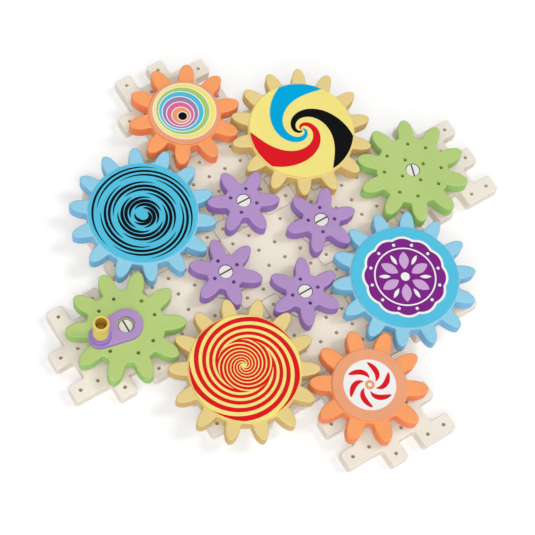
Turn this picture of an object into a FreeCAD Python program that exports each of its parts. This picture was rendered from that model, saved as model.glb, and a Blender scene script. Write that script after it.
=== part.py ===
import FreeCAD, Part
import math
import os

# Crank-driven gear toy: interlocking peg plates carry twelve meshing gears, one of them with a crank.
# Millimetres, +Z up. The origin is the middle of the plates' underside.

# ---- driving dimensions ----

CELL = 15.0                  # one plate cell, the step of the peg-hole grid
PLATE_THICK = 11.0
PLATE_PLAY = 0.2             # gap between two plates that interlock
PLATE_CORNER = 2.0
PLATE_EDGE = 0.9
PLATE_BODY = 4               # cells along each side of a plate, without its tabs
PLATE_TABS = [(0, 4), (2, 4), (4, 3), (4, 1), (1, -1), (3, -1), (-1, 2), (-1, 0), (4, -1)]   # their cells
PLATE_STEP = 5               # cells from one plate to the next
PLATE_REACH = 2              # plates from the middle plate to each tip

PEG_HOLE_R = 1.5
PEG_R = 1.45
PEG_DEPTH = 7.0
PEG_NEAR = 0.5 * CELL        # how far peg holes lie from a gear's two centre lines
PEG_FAR = 1.5 * CELL

FLANGE_R = 1.13 * CELL
FLANGE_THICK = 3.5
FLANGE_EDGE = 0.6
POST_R = 4.0
RUNNING_CLEARANCE = 0.08
AXIAL_PLAY = 0.3

GEAR_THICK = 12.0
GEAR_EDGE = 1.3
GEAR_FOOT = 0.6
ROOT_FILLET = 1.6

HEAD_R = 5.4
HEAD_THICK = 3.4
HEAD_EDGE = 0.4
RECESS_R = 5.9
RECESS_DEPTH = 4.2
SLOT_WIDTH = 1.3
SLOT_DEPTH = 1.6
SHANK_R = 1.5
THREAD_BITE = 0.05
SHANK_LENGTH = 10.5

DISC_THICK = 1.5
DISC_EDGE = 0.4
DISC_PEG_DEPTH = 5.0

ARM_THICK = 3.6
ARM_TURN = 166.0             # degrees from the crank gear's rows of peg holes to the arm
ARM_REACH = 1.45 * CELL
ARM_BIG_R = 0.86 * CELL
ARM_SMALL_R = 0.62 * CELL
ARM_EDGE = 0.8
WINDOW_R = 6.5
BOSS_FOOT_R = 8.4
BOSS_TOP_R = 7.5
BOSS_HEIGHT = 4.2
COLLAR_FOOT_R = 6.9
COLLAR_TOP_R = 6.5
COLLAR_HEIGHT = 2.2
STUD_R = 3.0

KNOB_LENGTH = 20.5
KNOB_FOOT_R = 6.0
KNOB_TOP_R = 6.3
KNOB_BORE_R = 4.3
KNOB_WEB = 7.0               # length of the knob that runs on the stud
KNOB_RIM = 0.8
RIVET_R = 4.0
RIVET_THICK = 1.4
RIVET_STEM_R = 1.2
RIVET_STEM_LENGTH = 6.0
STEM_CLEARANCE = 0.05

HOLE_END_GAP = 0.5           # from the end of a shank or stem to the bottom of its hole
PAST = 1.0                   # how far a cutting tool or a joining piece runs on past a face

# Gear sizes, in cells: teeth, tip and root radius, where the tooth's round end starts, half its width,
# and the radius of the picture disc that the size takes.
SIZES = {
    "large": dict(teeth=14, tip=3.88, root=2.95, shoulder=2.97, half_width=0.395, disc=2.86),
    "medium": dict(teeth=10, tip=3.07, root=2.00, shoulder=2.25, half_width=0.43, disc=1.94),
    "small": dict(teeth=6, tip=1.94, root=1.00, shoulder=1.15, half_width=0.39, disc=None),
}

# Where each gear turns, in cells from the middle, and whether it carries a disc.
GEARS = {
    "blue_back_left": dict(size="large", at=(-5, 5), disc=True),
    "yellow_back_right": dict(size="large", at=(5, 5), disc=True),
    "blue_front_right": dict(size="large", at=(5, -5), disc=True),
    "yellow_front_left": dict(size="large", at=(-5, -5), disc=True),
    "orange_back": dict(size="medium", at=(0, 9), disc=True),
    "green_right": dict(size="medium", at=(9, 0), disc=False),
    "orange_front": dict(size="medium", at=(0, -9), disc=True),
    "crank": dict(size="medium", at=(-9, 0), disc=False),
    "purple_back": dict(size="small", at=(0, 3), disc=False),
    "purple_right": dict(size="small", at=(3, 0), disc=False),
    "purple_front": dict(size="small", at=(0, -3), disc=False),
    "purple_left": dict(size="small", at=(-3, 0), disc=False),
}
LARGE_CLOCKWISE = ["blue_back_left", "yellow_back_right", "blue_front_right", "yellow_front_left"]
CRANK_REST = 11.0            # degrees, the rest angle of the crank gear's first tooth
LARGE_PHASE_STEP = 270.0     # degrees of tooth phase from each large gear to the next, clockwise

SLOT_ANGLE = {"crank": 89.0, "green_right": 71.0}   # degrees, where a screw slot isn't along X

GEAR_BOTTOM = PLATE_THICK + FLANGE_THICK + AXIAL_PLAY
GEAR_TOP = GEAR_BOTTOM + GEAR_THICK
POST_TOP = GEAR_TOP - RECESS_DEPTH + AXIAL_PLAY
ARM_TOP = GEAR_TOP + ARM_THICK
COLLAR_TOP = ARM_TOP + BOSS_HEIGHT + COLLAR_HEIGHT
KNOB_BOTTOM = COLLAR_TOP + AXIAL_PLAY
STUD_TOP = KNOB_BOTTOM + KNOB_WEB + AXIAL_PLAY

Z = FreeCAD.Vector(0, 0, 1)


def vec(x, y, z=0.0):
    return FreeCAD.Vector(x, y, z)


def cylinder(radius, bottom, top, x=0.0, y=0.0):
    return Part.makeCylinder(radius, top - bottom, vec(x, y, bottom))


def turned(shape, degrees):
    copy = shape.copy()
    copy.rotate(vec(0, 0), Z, degrees)
    return copy


def placed(shape, cells):
    copy = shape.copy()
    copy.translate(vec(cells[0] * CELL, cells[1] * CELL))
    return copy


def revolved(profile):
    # A closed outline of (radius, height) points, turned about Z.
    points = [vec(r, 0, z) for r, z in profile]
    outline = Part.makePolygon(points + points[:1])
    return Part.Face(outline).revolve(vec(0, 0), Z, 360)


def edges_at(shape, height):
    boxes = [(edge, edge.BoundBox) for edge in shape.Edges]
    return [edge for edge, box in boxes if max(abs(box.ZMin - height), abs(box.ZMax - height)) < 1e-4]


def upright_edges(shape):
    return [e for e in shape.Edges if e.BoundBox.DiagonalLength - e.BoundBox.ZLength < 1e-3]


# ---- tooth phases ----

def teeth(name):
    return SIZES[GEARS[name]["size"]]["teeth"]


def phase_to_mesh(name, other, other_phase):
    # Tooth phase is teeth times tooth angle. A tooth of one gear faces a gap of the other on the line
    # between their centres.
    x1, y1 = GEARS[name]["at"]
    x2, y2 = GEARS[other]["at"]
    bearing = math.degrees(math.atan2(y2 - y1, x2 - x1))
    both = teeth(name) + teeth(other)
    return both * bearing + (teeth(other) - 1) * 180.0 - other_phase


def between(first, second):
    # The phase halfway between two phases, the short way round.
    return first + ((second - first + 180.0) % 360.0 - 180.0) / 2.0


def neighbours(name):
    x, y = GEARS[name]["at"]
    reach = SIZES["large"]["tip"] + SIZES[GEARS[name]["size"]]["tip"]
    return [big for big in LARGE_CLOCKWISE
            if math.hypot(GEARS[big]["at"][0] - x, GEARS[big]["at"][1] - y) < reach]


def rest_angles():
    phases = {"crank": teeth("crank") * CRANK_REST}
    first, last = LARGE_CLOCKWISE[0], LARGE_CLOCKWISE[-1]
    start = between(phase_to_mesh(first, "crank", phases["crank"]),
                    phase_to_mesh(last, "crank", phases["crank"]) + LARGE_PHASE_STEP)
    for k, name in enumerate(LARGE_CLOCKWISE):
        phases[name] = start + k * LARGE_PHASE_STEP
    for name in GEARS:
        if name not in phases:
            one, two = [phase_to_mesh(name, big, phases[big]) for big in neighbours(name)]
            phases[name] = between(one, two)
    return {name: (phase / teeth(name)) % 360.0 for name, phase in phases.items()}


# ---- plates ----

def make_plate():
    body = [(i, j) for i in range(PLATE_BODY) for j in range(PLATE_BODY)]
    cells = [(i - PLATE_BODY / 2, j - PLATE_BODY / 2) for i, j in body + PLATE_TABS]
    tiles = [Part.makePlane(CELL, CELL, vec(x * CELL, y * CELL)) for x, y in cells]
    outline = tiles[0].multiFuse(tiles[1:]).removeSplitter().Faces[0]
    face = outline.makeOffset2D(-PLATE_PLAY / 2, join=2)
    plate = face.extrude(vec(0, 0, PLATE_THICK))
    plate = plate.makeFillet(PLATE_CORNER, upright_edges(plate))
    plate = plate.makeFillet(PLATE_EDGE, edges_at(plate, PLATE_THICK))
    plate = plate.makeFillet(PLATE_EDGE / 2, edges_at(plate, 0.0))
    holes = [cylinder(PEG_HOLE_R, -PAST, PLATE_THICK + PAST, (x + 0.5) * CELL, (y + 0.5) * CELL)
             for x, y in cells]
    return plate.cut(holes)


def plate_places():
    reach = range(-PLATE_REACH, PLATE_REACH + 1)
    return [(a * PLATE_STEP, b * PLATE_STEP) for b in reach for a in reach if abs(a) + abs(b) <= PLATE_REACH]


# ---- hubs and screws ----

def square_of_pegs(bottom, top):
    return [cylinder(PEG_R, bottom, top, x, y) for x in (-PEG_NEAR, PEG_NEAR) for y in (-PEG_NEAR, PEG_NEAR)]


def make_hub():
    flange = cylinder(FLANGE_R, PLATE_THICK, PLATE_THICK + FLANGE_THICK)
    flange = flange.makeFillet(FLANGE_EDGE, edges_at(flange, PLATE_THICK + FLANGE_THICK))
    post = cylinder(POST_R, PLATE_THICK, POST_TOP)
    pegs = square_of_pegs(PLATE_THICK - PEG_DEPTH, PLATE_THICK + FLANGE_THICK / 2)
    hole = cylinder(SHANK_R - THREAD_BITE, POST_TOP - SHANK_LENGTH - HOLE_END_GAP, POST_TOP + PAST)
    return flange.multiFuse([post] + pegs).removeSplitter().cut(hole)


def make_screw():
    top = POST_TOP + HEAD_THICK
    head = cylinder(HEAD_R, POST_TOP, top)
    head = head.makeFillet(HEAD_EDGE, edges_at(head, top))
    shank = cylinder(SHANK_R, POST_TOP - SHANK_LENGTH, POST_TOP + PAST)
    slot = Part.makeBox(2 * (HEAD_R + PAST), SLOT_WIDTH, SLOT_DEPTH + PAST,
                        vec(-HEAD_R - PAST, -SLOT_WIDTH / 2, top - SLOT_DEPTH))
    return head.fuse(shank).removeSplitter().cut(slot)


# ---- gears ----

def tooth_edges(size):
    # Two straight flanks and a round end that is half of an ellipse, on the +X side of the gear.
    half = size["half_width"] * CELL
    root = size["root"] * CELL
    shoulder = size["shoulder"] * CELL
    foot = math.sqrt(root ** 2 - half ** 2)
    end = Part.Ellipse(vec(shoulder, 0), size["tip"] * CELL - shoulder, half)
    start_flank = Part.LineSegment(vec(foot, -half), vec(shoulder, -half))
    end_flank = Part.LineSegment(vec(shoulder, half), vec(foot, half))
    round_end = Part.ArcOfEllipse(end, -math.pi / 2, math.pi / 2)
    return [start_flank.toShape(), round_end.toShape(), end_flank.toShape()]


def root_edge(size):
    # The stretch of root circle from one tooth to the next.
    root = size["root"] * CELL
    start = math.asin(size["half_width"] * CELL / root)
    stop = 2 * math.pi / size["teeth"] - start
    return Part.ArcOfCircle(Part.Circle(vec(0, 0), Z, root), start, stop).toShape()


def peg_spots(size_name):
    inner = [(a * PEG_NEAR, b * PEG_NEAR) for a in (-1, 1) for b in (-1, 1)]
    if size_name == "small":
        return inner
    outer = [(a * PEG_FAR, b * PEG_NEAR) for a in (-1, 1) for b in (-1, 1)]
    return inner + outer + [(y, x) for x, y in outer]


def make_gear(size_name):
    size = SIZES[size_name]
    pieces = tooth_edges(size) + [root_edge(size)]
    edges = [turned(edge, 360.0 * k / size["teeth"]) for k in range(size["teeth"]) for edge in pieces]
    wire = Part.Wire(Part.sortEdges(edges)[0])
    gear = Part.Face(wire).extrude(vec(0, 0, GEAR_THICK))
    root = size["root"] * CELL
    corners = [edge for edge in upright_edges(gear)
               if abs(math.hypot(edge.BoundBox.XMin, edge.BoundBox.YMin) - root) < 0.01]
    gear = gear.makeFillet(ROOT_FILLET, corners)
    gear = gear.makeFillet(GEAR_EDGE, edges_at(gear, GEAR_THICK))
    gear = gear.makeFillet(GEAR_FOOT, edges_at(gear, 0.0))
    gear.translate(vec(0, 0, GEAR_BOTTOM))
    low, high = GEAR_BOTTOM - PAST, GEAR_TOP + PAST
    holes = [cylinder(PEG_HOLE_R, low, high, x, y) for x, y in peg_spots(size_name)]
    bore = cylinder(POST_R + RUNNING_CLEARANCE, low, high)
    recess = cylinder(RECESS_R, GEAR_TOP - RECESS_DEPTH, high)
    return gear.cut(holes + [bore, recess])


def make_disc(size_name):
    radius = SIZES[size_name]["disc"] * CELL
    disc = cylinder(radius, GEAR_TOP, GEAR_TOP + DISC_THICK)
    disc = disc.makeFillet(DISC_EDGE, edges_at(disc, GEAR_TOP + DISC_THICK))
    peg = cylinder(PEG_R, GEAR_TOP - DISC_PEG_DEPTH, GEAR_TOP + DISC_THICK / 2, PEG_FAR, PEG_NEAR)
    return disc.multiFuse([turned(peg, 90 * k) for k in range(4)]).removeSplitter()


# ---- crank ----

def make_arm():
    # A teardrop plate along +X. Its sides are the outer tangents of the two end circles.
    lean = math.acos((ARM_BIG_R - ARM_SMALL_R) / ARM_REACH)
    c, s = math.cos(lean), math.sin(lean)
    big = [vec(ARM_BIG_R * c, ARM_BIG_R * s), vec(-ARM_BIG_R, 0), vec(ARM_BIG_R * c, -ARM_BIG_R * s)]
    small = [vec(ARM_REACH + ARM_SMALL_R * c, -ARM_SMALL_R * s), vec(ARM_REACH + ARM_SMALL_R, 0),
             vec(ARM_REACH + ARM_SMALL_R * c, ARM_SMALL_R * s)]
    edges = [Part.Arc(*big).toShape(), Part.LineSegment(big[2], small[0]).toShape(),
             Part.Arc(*small).toShape(), Part.LineSegment(small[2], big[0]).toShape()]
    plate = Part.Face(Part.Wire(edges)).extrude(vec(0, 0, ARM_THICK))
    plate.translate(vec(0, 0, GEAR_TOP))
    window = cylinder(WINDOW_R, GEAR_TOP - PAST, ARM_TOP + PAST)
    plate = plate.cut(window)
    plate = plate.makeFillet(ARM_EDGE, edges_at(plate, ARM_TOP))

    boss_top = ARM_TOP + BOSS_HEIGHT
    boss = revolved([(0, ARM_TOP - PAST), (BOSS_FOOT_R, ARM_TOP - PAST), (BOSS_FOOT_R, ARM_TOP),
                     (BOSS_TOP_R, boss_top), (COLLAR_FOOT_R, boss_top), (COLLAR_TOP_R, COLLAR_TOP),
                     (STUD_R, COLLAR_TOP), (STUD_R, STUD_TOP), (0, STUD_TOP)])
    boss.translate(vec(ARM_REACH, 0))
    pegs = [turned(peg, -ARM_TURN) for peg in square_of_pegs(GEAR_TOP - PEG_DEPTH, GEAR_TOP + PAST)]
    stem_hole = cylinder(RIVET_STEM_R + STEM_CLEARANCE, STUD_TOP - RIVET_STEM_LENGTH - HOLE_END_GAP,
                         STUD_TOP + PAST, ARM_REACH)
    return plate.multiFuse([boss] + pegs).removeSplitter().cut(stem_hole)


def make_knob():
    web_top = KNOB_BOTTOM + KNOB_WEB
    knob_top = KNOB_BOTTOM + KNOB_LENGTH
    run_r = STUD_R + RUNNING_CLEARANCE
    knob = revolved([(run_r, KNOB_BOTTOM), (KNOB_FOOT_R, KNOB_BOTTOM), (KNOB_TOP_R, knob_top),
                     (KNOB_BORE_R, knob_top), (KNOB_BORE_R, web_top), (run_r, web_top)])
    knob = knob.makeFillet(KNOB_RIM, edges_at(knob, knob_top))
    knob.translate(vec(ARM_REACH, 0))
    return knob


def make_rivet():
    head = cylinder(RIVET_R, STUD_TOP, STUD_TOP + RIVET_THICK, ARM_REACH)
    head = head.makeFillet(RIVET_THICK / 2, edges_at(head, STUD_TOP + RIVET_THICK))
    stem = cylinder(RIVET_STEM_R, STUD_TOP - RIVET_STEM_LENGTH, STUD_TOP + RIVET_THICK / 2, ARM_REACH)
    return head.fuse(stem).removeSplitter()


# ---- assembly ----

def build():
    nodes = {}
    plate = make_plate()
    for k, place in enumerate(plate_places(), 1):
        nodes["base_plate_%02d" % k] = placed(plate, place)

    hub = make_hub()
    screw = make_screw()
    gears = {name: make_gear(name) for name in SIZES}
    discs = {name: make_disc(name) for name in SIZES if SIZES[name]["disc"]}
    angles = rest_angles()
    for name, gear in GEARS.items():
        place = gear["at"]
        nodes["hub_" + name] = placed(hub, place)
        nodes["screw_" + name] = placed(turned(screw, SLOT_ANGLE.get(name, 0.0)), place)
        nodes["gear_" + name] = placed(turned(gears[gear["size"]], angles[name]), place)
        if gear["disc"]:
            nodes["disc_" + name] = placed(turned(discs[gear["size"]], angles[name]), place)

    for name, shape in (("crank_arm", make_arm()), ("crank_knob", make_knob()), ("knob_rivet", make_rivet())):
        nodes[name] = placed(turned(shape, CRANK_REST + ARM_TURN), GEARS["crank"]["at"])
    return nodes


os.makedirs("parts", exist_ok=True)
for node, shape in build().items():
    solids = shape.Solids
    shape = solids[0] if len(solids) == 1 else shape
    shape.exportStep("parts/" + node + ".step")
    print(node, "solids", len(solids), "valid", shape.isValid(), "volume_cm3", round(shape.Volume / 1000, 2))
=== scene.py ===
import bmesh
import bpy
import math
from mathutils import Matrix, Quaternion, Vector


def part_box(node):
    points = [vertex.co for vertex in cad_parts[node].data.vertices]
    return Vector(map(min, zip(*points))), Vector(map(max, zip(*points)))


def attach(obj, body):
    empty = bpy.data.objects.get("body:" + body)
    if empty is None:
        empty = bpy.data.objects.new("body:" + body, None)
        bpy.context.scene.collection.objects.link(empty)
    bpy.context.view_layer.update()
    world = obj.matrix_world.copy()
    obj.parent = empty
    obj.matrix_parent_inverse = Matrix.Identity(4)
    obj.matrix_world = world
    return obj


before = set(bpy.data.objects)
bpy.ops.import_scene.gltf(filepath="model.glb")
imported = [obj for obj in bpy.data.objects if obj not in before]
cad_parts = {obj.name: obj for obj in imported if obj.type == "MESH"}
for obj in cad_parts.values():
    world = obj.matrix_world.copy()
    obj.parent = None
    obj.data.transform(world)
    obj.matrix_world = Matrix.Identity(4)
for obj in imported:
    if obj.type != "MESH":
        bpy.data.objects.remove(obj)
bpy.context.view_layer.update()        # the toy's own pieces, already in place

cell = 0.015             # the peg-hole step; the prints are drawn in cells


def linear(rgb):
    # 0 to 255 screen colour to the value that a shader socket takes
    return tuple(((c / 255 + 0.055) / 1.055) ** 2.4 for c in rgb) + (1.0,)


def addNode(tree, kind, inputs=None, output=0, **settings):
    # a shader node with its inputs set or linked; gives back one of its outputs
    node = tree.nodes.new(kind)
    for key, value in settings.items():
        setattr(node, key, value)
    for key, value in (inputs or {}).items():
        if isinstance(value, bpy.types.NodeSocket):
            tree.links.new(value, node.inputs[key])
        else:
            node.inputs[key].default_value = value
    return node.outputs[output]


def ramped(tree, value, fromRange, toRange, style="SMOOTHSTEP"):
    return addNode(tree, "ShaderNodeMapRange", {
        "Value": value, "From Min": fromRange[0], "From Max": fromRange[1],
        "To Min": toRange[0], "To Max": toRange[1]}, interpolation_type=style)


def mixed(tree, factor, first, second):
    # the node also has sockets for numbers and vectors, so its colour ones are found by place
    node = tree.nodes.new("ShaderNodeMix")
    node.data_type = "RGBA"
    for socket, value in ((node.inputs[0], factor), (node.inputs[6], first), (node.inputs[7], second)):
        if isinstance(value, bpy.types.NodeSocket):
            tree.links.new(value, socket)
        else:
            socket.default_value = value
    return node.outputs[2]


# satin moulded plastic, shared by every finish below
plasticGrain = {
    "blotchScale": 26.0,       # cloudy patches, a few centimetres across
    "blotchSpan": (0.3, 0.7),  # the part of the noise's range that is used
    "blotchAmount": 0.025,
    "grainScale": 1500.0,      # fine skin of the mould
    "grainSpan": (0.25, 0.75),
    "grainAmount": 0.02,
    "reliefHeight": 0.00006,
    "reliefStrength": 0.22,
    "gloss": (0.42, 0.52),
    "shine": 0.25,
    # painted shading: faces less level than this take the walls' painted shade
    "wallShadeBelow": (0.25, 0.9),  # how level a face is where the wall tone ends and the top tone begins
    "bounceShare": 0.8,        # light that bounces off a piece is mostly this pale, so neighbours stay clean
    "bounceRgb": (232, 221, 206),
}


def eachWay(amount):
    # the range of a brightness that varies by an amount each way
    return 1.0 - amount, 1.0 + amount


def mouldedPlastic(name, look):
    # look: top colour and a painted shade for the walls, and where wanted gloss, shine, a painted shade for
    # what lies low in a recess, and a painted tone near an axis, lighter in the peg holes and darker in the
    # knob's bore
    skin = plasticGrain
    material = bpy.data.materials.new(name)
    material.use_nodes = True
    tree = material.node_tree
    shader = tree.nodes["Principled BSDF"]
    coords = addNode(tree, "ShaderNodeTexCoord", output="Object")
    blotch = addNode(tree, "ShaderNodeTexNoise", {
        "Vector": coords, "Scale": skin["blotchScale"], "Detail": 2.0, "Roughness": 0.5})
    grain = addNode(tree, "ShaderNodeTexNoise", {
        "Vector": coords, "Scale": skin["grainScale"], "Detail": 3.0, "Roughness": 0.6})
    normal = addNode(tree, "ShaderNodeNewGeometry", output="Normal")
    level = addNode(tree, "ShaderNodeSeparateXYZ", {"Vector": normal}, "Z")
    # painted shading: upright faces take the walls' tone and level faces the top tone, standing in for how
    # light falls on walls and tops
    shadeByFacing = ramped(tree, level, skin["wallShadeBelow"], (0.0, 1.0))
    colour = mixed(tree, shadeByFacing, linear(look["wallShade"]), linear(look["top"]))

    # painted shade: below a height the colour turns to a darker tone, darkening a recess such as a screw's
    # slot
    if "paintedDeepShade" in look:
        height = addNode(tree, "ShaderNodeSeparateXYZ", {"Vector": coords}, "Z")
        shadeDepth = ramped(tree, height, look["paintedDeepShade"]["heights"], (0.0, 1.0), "LINEAR")
        colour = mixed(tree, shadeDepth, linear(look["paintedDeepShade"]["rgb"]), colour)
    if "paintedHoleTone" in look:
        # painted tone round one axis, or round every point of a square grid, and fading out between two
        # radii: painted light in the peg holes, painted shade in the knob's bore
        paintedHoleTone = look["paintedHoleTone"]
        around = addNode(tree, "ShaderNodeMapping", {
            "Vector": coords, "Location": (-paintedHoleTone["x"], -paintedHoleTone["y"], 0.0), "Scale": (1.0, 1.0, 0.0)})
        if "step" in paintedHoleTone:
            half = paintedHoleTone["step"] / 2
            around = addNode(tree, "ShaderNodeVectorMath", {
                0: around, 1: (half, half, 1.0), 2: (-half, -half, 0.0)}, operation="WRAP")
        reach = addNode(tree, "ShaderNodeVectorMath", {0: around}, "Value", operation="LENGTH")
        outside = ramped(tree, reach, paintedHoleTone["radii"], (0.0, 1.0), "LINEAR")
        colour = mixed(tree, outside, linear(paintedHoleTone["rgb"]), colour)

    bounced = addNode(tree, "ShaderNodeLightPath", output="Is Diffuse Ray")
    share = addNode(tree, "ShaderNodeMath", {0: bounced, 1: skin["bounceShare"]}, operation="MULTIPLY")
    colour = mixed(tree, share, colour, linear(skin["bounceRgb"]))
    cloud = ramped(tree, blotch, skin["blotchSpan"], eachWay(skin["blotchAmount"]))
    speck = ramped(tree, grain, skin["grainSpan"], eachWay(skin["grainAmount"]))
    brightness = addNode(tree, "ShaderNodeMath", {0: cloud, 1: speck}, operation="MULTIPLY")
    colour = addNode(tree, "ShaderNodeHueSaturation", {"Color": colour, "Value": brightness})
    tree.links.new(colour, shader.inputs["Base Color"])
    gloss = ramped(tree, blotch, skin["blotchSpan"], look.get("gloss", skin["gloss"]))
    tree.links.new(gloss, shader.inputs["Roughness"])
    relief = addNode(tree, "ShaderNodeBump", {
        "Strength": skin["reliefStrength"], "Distance": skin["reliefHeight"], "Height": grain})
    tree.links.new(relief, shader.inputs["Normal"])
    shader.inputs["Specular IOR Level"].default_value = look.get("shine", skin["shine"])
    return material


# finishes of the moulded pieces, most with a painted shade on their walls; a peg hole has a painted lighter
# tone, and a screw's slot and the knob's bore a painted shade
pegHoleLight = dict(x=cell / 2, y=cell / 2, step=cell, radii=(0.00152, 0.00158), rgb=(246, 230, 210))
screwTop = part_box("screw_crank")[1].z
slotShade = dict(heights=(screwTop - 0.0009, screwTop - 0.0002), rgb=(86, 80, 74))
knobLow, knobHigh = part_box("crank_knob")
knobAxis = (knobLow + knobHigh) / 2
# painted shade: the inside of the knob's bore is given a darker amber tone
knobBoreShade = dict(x=knobAxis.x, y=knobAxis.y, radii=(0.0044, 0.0049), rgb=(196, 154, 48))

looks = {
    "cream": dict(top=(240, 233, 220), wallShade=(238, 228, 215), paintedHoleTone=pegHoleLight),
    "paleGrey": dict(top=(214, 214, 216), wallShade=(190, 190, 196)),
    "white": dict(top=(234, 231, 227), wallShade=(190, 186, 182), paintedDeepShade=slotShade),
    "orange": dict(top=(250, 160, 99), wallShade=(252, 136, 82)),
    "yellow": dict(top=(232, 208, 138), wallShade=(216, 182, 108)),
    "blue": dict(top=(146, 206, 232), wallShade=(120, 190, 236)),
    "green": dict(top=(181, 206, 123), wallShade=(154, 204, 110)),
    "purple": dict(top=(178, 144, 198), wallShade=(152, 114, 198)),
    "tanOrange": dict(top=(237, 162, 119), wallShade=(238, 140, 90)),
    "paleYellow": dict(top=(246, 230, 130), wallShade=(240, 220, 120)),
    "cyan": dict(top=(78, 192, 224), wallShade=(120, 206, 232)),
    "knobYellow": dict(top=(232, 214, 112), wallShade=(226, 206, 104), paintedHoleTone=knobBoreShade),
    "amber": dict(top=(190, 146, 44), wallShade=(170, 128, 36)),
}
plastics = {name: mouldedPlastic(name + "Plastic", look) for name, look in looks.items()}


def finishFor(node):
    # the plastic that a piece is moulded in, from its name
    if node.startswith("base_plate"):
        return "cream"
    if node.startswith("hub"):
        return "paleGrey"
    if node.startswith("screw"):
        return "white"
    if node.startswith("disc"):
        return {"orange": "tanOrange", "yellow": "paleYellow", "blue": "cyan"}[node.split("_")[1]]
    named = {"gear_crank": "green", "crank_arm": "purple", "crank_knob": "knobYellow", "knob_rivet": "amber"}
    return named.get(node) or node.split("_")[1]   # the other gears have their colour in the name


for node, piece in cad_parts.items():
    piece.data.materials.clear()
    piece.data.materials.append(plastics[finishFor(node)])
print("gear toy:", len(plastics), "plastics on", len(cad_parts), "moulded pieces")


# prints on the discs are thin inlays, drawn flat in cells round the disc's middle
inlay = {
    "sink": 0.00012, "proud": 0.00006,   # metres below and above the disc's face
    "step": 0.00006,                     # how much higher each layer lies
    "merge": 1e-4,                       # cells within which points are one
}

inkColours = {
    "redInk": (222, 28, 38), "blueInk": (0, 168, 222), "blackInk": (18, 17, 20), "whiteInk": (243, 242, 240),
    "purpleInk": (128, 40, 138), "lilacInk": (206, 168, 214), "lemonInk": (248, 230, 122),
    "greenInk": (167, 204, 118), "skyInk": (80, 190, 222), "violetInk": (161, 129, 176),
    "pinkInk": (224, 107, 152), "orangeInk": (236, 159, 110),
}
inkSheen = dict(gloss=(0.55, 0.65), shine=0.02)
inks = {name: mouldedPlastic(name, dict(top=rgb, wallShade=rgb, **inkSheen)) for name, rgb in inkColours.items()}


def discAt(gear):
    low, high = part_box("disc_" + gear)
    return dict(gear=gear, x=(low.x + high.x) / 2, y=(low.y + high.y) / 2, face=high.z,
                rim=(high.x - low.x) / 2 / cell)


def bentGrid(bm, along, across, place):
    # a flat grid whose unit square is bent into a shape by place(u, v)
    grid = bmesh.ops.create_grid(bm, x_segments=along, y_segments=across, size=0.5)
    for vert in grid["verts"]:
        vert.co.x, vert.co.y = place(vert.co.x + 0.5, vert.co.y + 0.5)


def roundEdge(bm, x, y, radius, steps=120):
    circle = bmesh.ops.create_circle(bm, segments=steps, radius=radius)
    bmesh.ops.translate(bm, verts=circle["verts"], vec=(x, y, 0))
    return list({edge for vert in circle["verts"] for edge in vert.link_edges})


def ring(bm, outer, inner):
    # the band between two circles, which needn't share a middle
    edges = roundEdge(bm, *outer) + roundEdge(bm, *inner)
    bmesh.ops.bridge_loops(bm, edges=edges)


def spot(bm, x, y, radius, steps=96):
    circle = bmesh.ops.create_circle(bm, segments=steps, radius=radius, cap_ends=True)
    bmesh.ops.translate(bm, verts=circle["verts"], vec=(x, y, 0))


def layInlay(bm, name, disc, ink, layer=0):
    # thickens a flat drawing and sets it into the disc's face
    bmesh.ops.remove_doubles(bm, verts=bm.verts, dist=inlay["merge"])
    bmesh.ops.dissolve_degenerate(bm, edges=bm.edges, dist=inlay["merge"])
    floor = disc["face"] - inlay["sink"]
    for vert in bm.verts:
        vert.co = Vector((disc["x"] + cell * vert.co.x, disc["y"] + cell * vert.co.y, floor))
    raised = bmesh.ops.extrude_face_region(bm, geom=bm.faces[:])
    thickness = inlay["sink"] + inlay["proud"] + layer * inlay["step"]
    lifted = [item for item in raised["geom"] if isinstance(item, bmesh.types.BMVert)]
    bmesh.ops.translate(bm, verts=lifted, vec=(0, 0, thickness))
    bmesh.ops.recalc_face_normals(bm, faces=bm.faces)
    mesh = bpy.data.meshes.new(name)
    bm.to_mesh(mesh)
    bm.free()
    piece = bpy.data.objects.new(name, mesh)
    bpy.context.scene.collection.objects.link(piece)
    mesh.materials.append(inks[ink])
    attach(piece, disc["gear"] + "_gear")


def polar(radius, degrees, x=0.0, y=0.0):
    angle = math.radians(degrees)
    return x + radius * math.cos(angle), y + radius * math.sin(angle)


def reachTo(x, y, degrees, circle):
    # how far a point is from a circle round it, in one direction
    cx, cy, radius = circle
    dx, dy = polar(1.0, degrees)
    ahead = (cx - x) * dx + (cy - y) * dy
    aside = (cx - x) * dy - (cy - y) * dx
    return ahead + math.sqrt(radius ** 2 - aside ** 2)


def rimOf(disc, look):
    # the circle that a print stays inside
    return 0.0, 0.0, disc["rim"] - look["clearOfRim"]


def bulge(u, power):
    # 0 at both ends of 0 to 1 and 1 in the middle, blunter the lower the power
    return max(math.sin(math.pi * u), 0.0) ** power


# orange back disc: rings that lean to one side, each with a white outline
leaningRings = {
    # from the rim in, and the last one is the eye
    "inks": ["lemonInk", "greenInk", "skyInk", "violetInk", "pinkInk", "orangeInk", "blackInk"],
    "outline": 0.05,
    "radius": 1.727, "inEach": 0.239,
    # the middles of the rings go round a small circle
    "middle": (-0.096, -0.028), "swing": 0.168, "startAngle": 37.4, "turnEach": 31.0,
}


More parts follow.
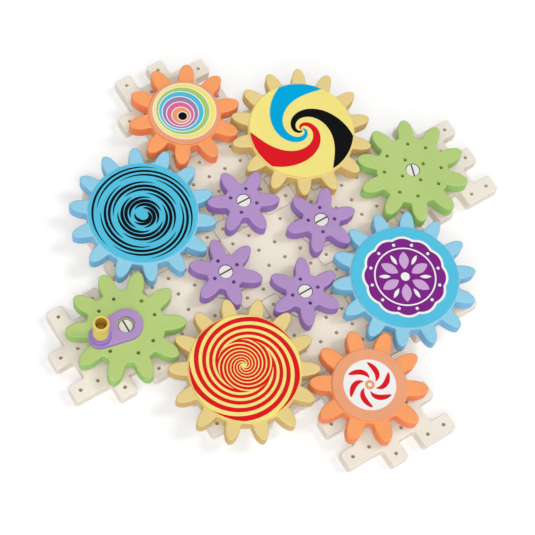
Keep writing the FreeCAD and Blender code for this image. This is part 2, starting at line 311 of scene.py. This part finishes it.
def printLeaningRings(disc):
    look = leaningRings
    circles = []
    for k in range(len(look["inks"])):
        x, y = polar(look["swing"], look["startAngle"] + look["turnEach"] * k, *look["middle"])
        circles.append((x, y, look["radius"] - look["inEach"] * k))
    outlines = bmesh.new()
    for k, (x, y, radius) in enumerate(circles):
        edge = radius - look["outline"]
        ring(outlines, (x, y, radius), (x, y, edge))
        fill = bmesh.new()
        if k + 1 < len(circles):
            ring(fill, (x, y, edge), circles[k + 1])
        else:
            spot(fill, x, y, edge)
        layInlay(fill, "ring_" + look["inks"][k].replace("Ink", ""), disc, look["inks"][k])
    layInlay(outlines, "ring_outlines", disc, "whiteInk")


# yellow back disc: arms that swirl in to the middle, one in each colour
swirl = {
    "arms": [("blueInk", 0), ("redInk", 120), ("blackInk", 240)],
    "inner": 0.04, "outer": 2.83,
    # the middle line of an arm tends to farAngle far out, and turns by up to turn more at the disc's middle,
    # most of it within about reach cells; a lower evenness winds it more tightly in the middle
    "farAngle": 20.6, "turn": 365.4, "reach": 1.115, "evenness": 0.88,
    "width": 58.5, "rimNarrowing": 9.5, "narrowingPower": 6,   # degrees, less towards the rim
    "grid": (96, 12),
}


def printSwirl(disc):
    for ink, armAngle in swirl["arms"]:
        def place(u, v):
            # u runs in from the rim, with the steps closer together towards the middle
            radius = swirl["outer"] + (swirl["inner"] - swirl["outer"]) * (1 - (1 - u) ** 2)
            wound = math.exp(-(radius / swirl["reach"]) ** swirl["evenness"])
            middle = swirl["farAngle"] + swirl["turn"] * wound
            narrowing = swirl["rimNarrowing"] * (radius / swirl["outer"]) ** swirl["narrowingPower"]
            return polar(radius, middle + (v - 0.5) * (swirl["width"] - narrowing) + armAngle)
        arm = bmesh.new()
        bentGrid(arm, *swirl["grid"], place)
        layInlay(arm, "swirl_" + ink.replace("Ink", ""), disc, ink)


# blue back disc: long strokes round an eye, thin at both ends, each a little further in than the last
strokes = {
    "eye": (-0.09, -0.162),
    "plainEye": 0.27,            # radius that no stroke comes into
    "count": 20,
    "startAngle": 43.84, "turnEach": -51.92,
    "startRadius": 2.848, "inEach": -0.126,
    "sweep": (148.0, 2.0),       # of the first stroke, and how much longer each next one is
    "drift": -0.29,              # how far a stroke comes in along its length
    "width": (0.222, -0.036),    # at mid stroke: next to the eye, and the change for each cell outward
    "taper": 0.62,
    "clearOfRim": 0.05,
    "grid": (72, 1),
}


def printStrokes(disc):
    bm = bmesh.new()
    x, y = strokes["eye"]
    for k in range(strokes["count"]):
        start = strokes["startAngle"] + strokes["turnEach"] * k
        sweep = strokes["sweep"][0] + strokes["sweep"][1] * k
        outer = strokes["startRadius"] + strokes["inEach"] * k

        def place(u, v):
            middle = max(outer + strokes["drift"] * u, strokes["plainEye"])
            full = strokes["width"][0] + strokes["width"][1] * middle
            width = full * bulge(u, strokes["taper"])
            angle = start + sweep * u
            radius = min(middle + (v - 0.5) * width, reachTo(x, y, angle, rimOf(disc, strokes)))
            return polar(max(radius, strokes["plainEye"]), angle, x, y)
        bentGrid(bm, *strokes["grid"], place)
    layInlay(bm, "spiral_strokes", disc, "blackInk")


# yellow front disc: broad stripes wind in to a join, fine ones wind on from there to the eye
stripes = {
    # share: how much of the disc is stripe; reach: the radii that an arm is drawn between; wind: how many
    # degrees an arm's angle changes for each cell outward, and for each cell squared
    "broad": dict(eye=(0.020, 0.087), arms=5, at=0.4, wind=(-364.9, 40.9), share=0.55, reach=(1.20, 3.15)),
    "fine": dict(eye=(0.012, 0.131), arms=5, at=17.4, wind=(522.5, -81.9), share=0.66, reach=(0.12, 1.60)),
    "join": (0.09, 0.11, 1.40),  # middle and radius of the circle where the two meet
    # a fine stripe widens from its inner end over the second length, as if begun the first one earlier
    "tip": (0.02, 0.12),
    "clearOfRim": 0.025,
    "grid": (160, 1),
}


def printStripes(disc):
    bm = bmesh.new()
    early, widening = stripes["tip"]
    limits = {"broad": (stripes["join"], rimOf(disc, stripes)), "fine": (None, stripes["join"])}
    for name, (inside, outside) in limits.items():
        zone = stripes[name]
        x, y = zone["eye"]
        low, high = zone["reach"]
        wind, more = zone["wind"]
        for arm in range(zone["arms"]):
            def place(u, v):
                middle = low + (high - low) * u
                angle = zone["at"] + 360.0 / zone["arms"] * arm + wind * middle + more * middle ** 2
                halfWidth = 180.0 / zone["arms"] * zone["share"] / abs(wind + 2 * more * middle)
                sharpened = min(1.0, (middle - low + early) / widening) if inside is None else 1.0
                radius = middle + (v * 2 - 1) * halfWidth * sharpened
                floor = reachTo(x, y, angle, inside) if inside else 0.0
                return polar(min(max(radius, floor), reachTo(x, y, angle, outside)), angle, x, y)
            bentGrid(bm, *stripes["grid"], place)
    layInlay(bm, "stripe_spiral", disc, "redInk")


# blue front disc: a scalloped field with a rosette and a ring of dots
rosette = {
    "field": 2.12, "lobes": 12, "swell": 0.12, "outline": 0.13, "edgeSteps": 288,
    "band": (1.66, 1.58),        # outer and inner radius of the white circle
    "dots": dict(count=12, at=1.86, radius=0.085),
    "petals": dict(count=6, inner=0.42, outer=1.42, halfWidth=0.26),
    "smallPetals": dict(count=6, inner=0.78, outer=1.40, halfWidth=0.10),
    "petalTaper": 0.8, "petalGrid": (32, 2),
    "heart": 0.24,
}


def scallopedEdge(bm, radius):
    edges = roundEdge(bm, 0.0, 0.0, radius, rosette["edgeSteps"])
    for vert in {vert for edge in edges for vert in edge.verts}:
        angle = math.atan2(vert.co.y, vert.co.x)
        vert.co *= 1.0 + rosette["swell"] / radius * (abs(math.cos(rosette["lobes"] / 2 * angle)) - 0.5)
    return edges


def petals(bm, look, turn=0.0):
    for k in range(look["count"]):
        def place(u, v):
            out = look["inner"] + (look["outer"] - look["inner"]) * u
            side = look["halfWidth"] * bulge(u, rosette["petalTaper"]) * (2 * v - 1)
            angle = turn + 360.0 / look["count"] * k
            return polar(math.hypot(out, side), math.degrees(math.atan2(side, out)) + angle)
        bentGrid(bm, *rosette["petalGrid"], place)


def printRosette(disc):
    field = bmesh.new()
    bmesh.ops.contextual_create(field, geom=scallopedEdge(field, rosette["field"]))
    layInlay(field, "rosette_field", disc, "purpleInk")
    outline = bmesh.new()
    outerEdge = scallopedEdge(outline, rosette["field"] + rosette["outline"])
    innerEdge = scallopedEdge(outline, rosette["field"])
    bmesh.ops.bridge_loops(outline, edges=outerEdge + innerEdge)
    outer, inner = rosette["band"]
    ring(outline, (0.0, 0.0, outer), (0.0, 0.0, inner))
    dots = rosette["dots"]
    for k in range(dots["count"]):
        x, y = polar(dots["at"], 360.0 / dots["count"] * (k + 0.5))
        spot(outline, x, y, dots["radius"], steps=32)
    petals(outline, rosette["smallPetals"], 180.0 / rosette["smallPetals"]["count"])
    spot(outline, 0.0, 0.0, rosette["heart"], steps=48)
    layInlay(outline, "rosette_outline", disc, "whiteInk", 1)
    flower = bmesh.new()
    petals(flower, rosette["petals"])
    layInlay(flower, "rosette_petals", disc, "lilacInk", 1)


# orange front disc: a pinwheel on a white field
pinwheel = {
    "field": 1.36,
    # bend is how far round a blade goes, and halfAngle half of its width, in degrees
    "blades": dict(count=6, inner=0.34, outer=1.22, bend=62.0, halfAngle=15.0, taper=0.7, grid=(40, 4)),
    "hub": 0.25, "hubDot": 0.10,
}


def printPinwheel(disc):
    field = bmesh.new()
    spot(field, 0.0, 0.0, pinwheel["field"])
    layInlay(field, "pinwheel_field", disc, "whiteInk")
    blades = pinwheel["blades"]
    wheel = bmesh.new()
    for k in range(blades["count"]):
        def place(u, v):
            spread = blades["halfAngle"] * bulge(u, blades["taper"]) * (2 * v - 1)
            radius = blades["inner"] + (blades["outer"] - blades["inner"]) * u
            return polar(radius, 360.0 / blades["count"] * k + blades["bend"] * u + spread)
        bentGrid(wheel, *blades["grid"], place)
    layInlay(wheel, "pinwheel_blades", disc, "redInk", 1)
    hub = bmesh.new()
    spot(hub, 0.0, 0.0, pinwheel["hub"], steps=64)
    layInlay(hub, "pinwheel_hub", disc, "orangeInk", 1)
    dot = bmesh.new()
    spot(dot, 0.0, 0.0, pinwheel["hubDot"], steps=32)
    layInlay(dot, "pinwheel_dot", disc, "whiteInk", 2)


printLeaningRings(discAt("orange_back"))
printSwirl(discAt("yellow_back_right"))
printStrokes(discAt("blue_back_left"))
printStripes(discAt("yellow_front_left"))
printRosette(discAt("blue_front_right"))
printPinwheel(discAt("orange_front"))
print("gear toy: prints laid")


# a white room, its lamps and the camera
room = {
    "floorSize": 8.0, "floorDrop": 0.0004,
    "floorWhite": 0.80, "floorGlow": 0.25,
    "skyLight": 0.42,
    "lamps": {   # the lift has no shadow and opens up the deepest holes
        "key": dict(towards=(1.05, -0.45, 1.6), softness=18.0, strength=0.72, shadow=True),
        "fill": dict(towards=(-0.50, -0.52, 0.90), softness=60.0, strength=0.85, shadow=True),
        "lift": dict(towards=(-0.60, -0.64, 0.90), softness=60.0, strength=0.67, shadow=False),
    },
}


def seenDirectly(tree):
    # 1 for camera, glossy and transmission rays, so that reflections show the same white room
    paths = tree.nodes.new("ShaderNodeLightPath")
    total = None
    for ray in ("Is Camera Ray", "Is Glossy Ray", "Is Transmission Ray"):
        total = paths.outputs[ray] if total is None else addNode(
            tree, "ShaderNodeMath", {0: total, 1: paths.outputs[ray]}, operation="MAXIMUM")
    return total


def makeFloor():
    mesh = bpy.data.meshes.new("studioFloor")
    bm = bmesh.new()
    bmesh.ops.create_grid(bm, x_segments=1, y_segments=1, size=room["floorSize"] / 2)
    bmesh.ops.translate(bm, verts=bm.verts, vec=(0, 0, -room["floorDrop"]))
    bm.to_mesh(mesh)
    bm.free()
    floor = bpy.data.objects.new("studioFloor", mesh)
    bpy.context.scene.collection.objects.link(floor)
    material = bpy.data.materials.new("whiteSweep")
    material.use_nodes = True
    tree = material.node_tree
    tree.nodes.remove(tree.nodes["Principled BSDF"])
    white = room["floorWhite"]
    matt = addNode(tree, "ShaderNodeBsdfDiffuse", {"Color": (white, white, white, 1.0)})
    seen = seenDirectly(tree)
    strength = addNode(tree, "ShaderNodeMath", {0: seen, 1: room["floorGlow"]}, operation="MULTIPLY")
    glow = addNode(tree, "ShaderNodeEmission", {"Strength": strength})
    both = addNode(tree, "ShaderNodeAddShader", {0: matt, 1: glow})
    tree.links.new(both, tree.nodes["Material Output"].inputs["Surface"])
    mesh.materials.append(material)


def makeSky():
    world = bpy.data.worlds.new("whiteRoom")
    bpy.context.scene.world = world
    world.use_nodes = True
    tree = world.node_tree
    strength = ramped(tree, seenDirectly(tree), (0.0, 1.0), (room["skyLight"], 1.0), "LINEAR")
    background = tree.nodes["Background"]
    background.inputs["Color"].default_value = (1.0, 1.0, 1.0, 1.0)
    tree.links.new(strength, background.inputs["Strength"])


def makeLamps():
    for name, look in room["lamps"].items():
        lamp = bpy.data.lights.new(name + "Light", "SUN")
        lamp.angle = math.radians(look["softness"])
        lamp.energy = look["strength"]
        lamp.use_shadow = look["shadow"]
        holder = bpy.data.objects.new(name + "Light", lamp)
        holder.location = look["towards"]
        holder.rotation_mode = "QUATERNION"
        holder.rotation_quaternion = (-Vector(look["towards"])).to_track_quat("-Z", "Y")
        bpy.context.scene.collection.objects.link(holder)


camera = {"lens": 105.43, "sensor": 36.0, "azimuth": 47.246, "elevation": 65.715, "roll": 15.864,
          "aim": (-0.01271, -0.01140, 0.020), "distance": 1.23143, "clipNear": 0.05}


def makeCamera():
    azimuth, elevation = math.radians(camera["azimuth"]), math.radians(camera["elevation"])
    level = math.cos(elevation)
    ahead = Vector((math.sin(azimuth) * level, math.cos(azimuth) * level, -math.sin(elevation)))
    lens = bpy.data.cameras.new("camera")
    lens.lens = camera["lens"]
    lens.sensor_width = camera["sensor"]
    lens.clip_start = camera["clipNear"]
    holder = bpy.data.objects.new("camera", lens)
    holder.location = Vector(camera["aim"]) - ahead * camera["distance"]
    holder.rotation_mode = "QUATERNION"
    roll = Quaternion((0, 0, 1), math.radians(camera["roll"]))
    holder.rotation_quaternion = ahead.to_track_quat("-Z", "Y") @ roll
    bpy.context.scene.collection.objects.link(holder)
    bpy.context.scene.camera = holder


makeFloor()
makeSky()
makeLamps()
makeCamera()
bpy.context.scene.view_settings.view_transform = "Standard"
print("gear toy: room, light and camera ready")
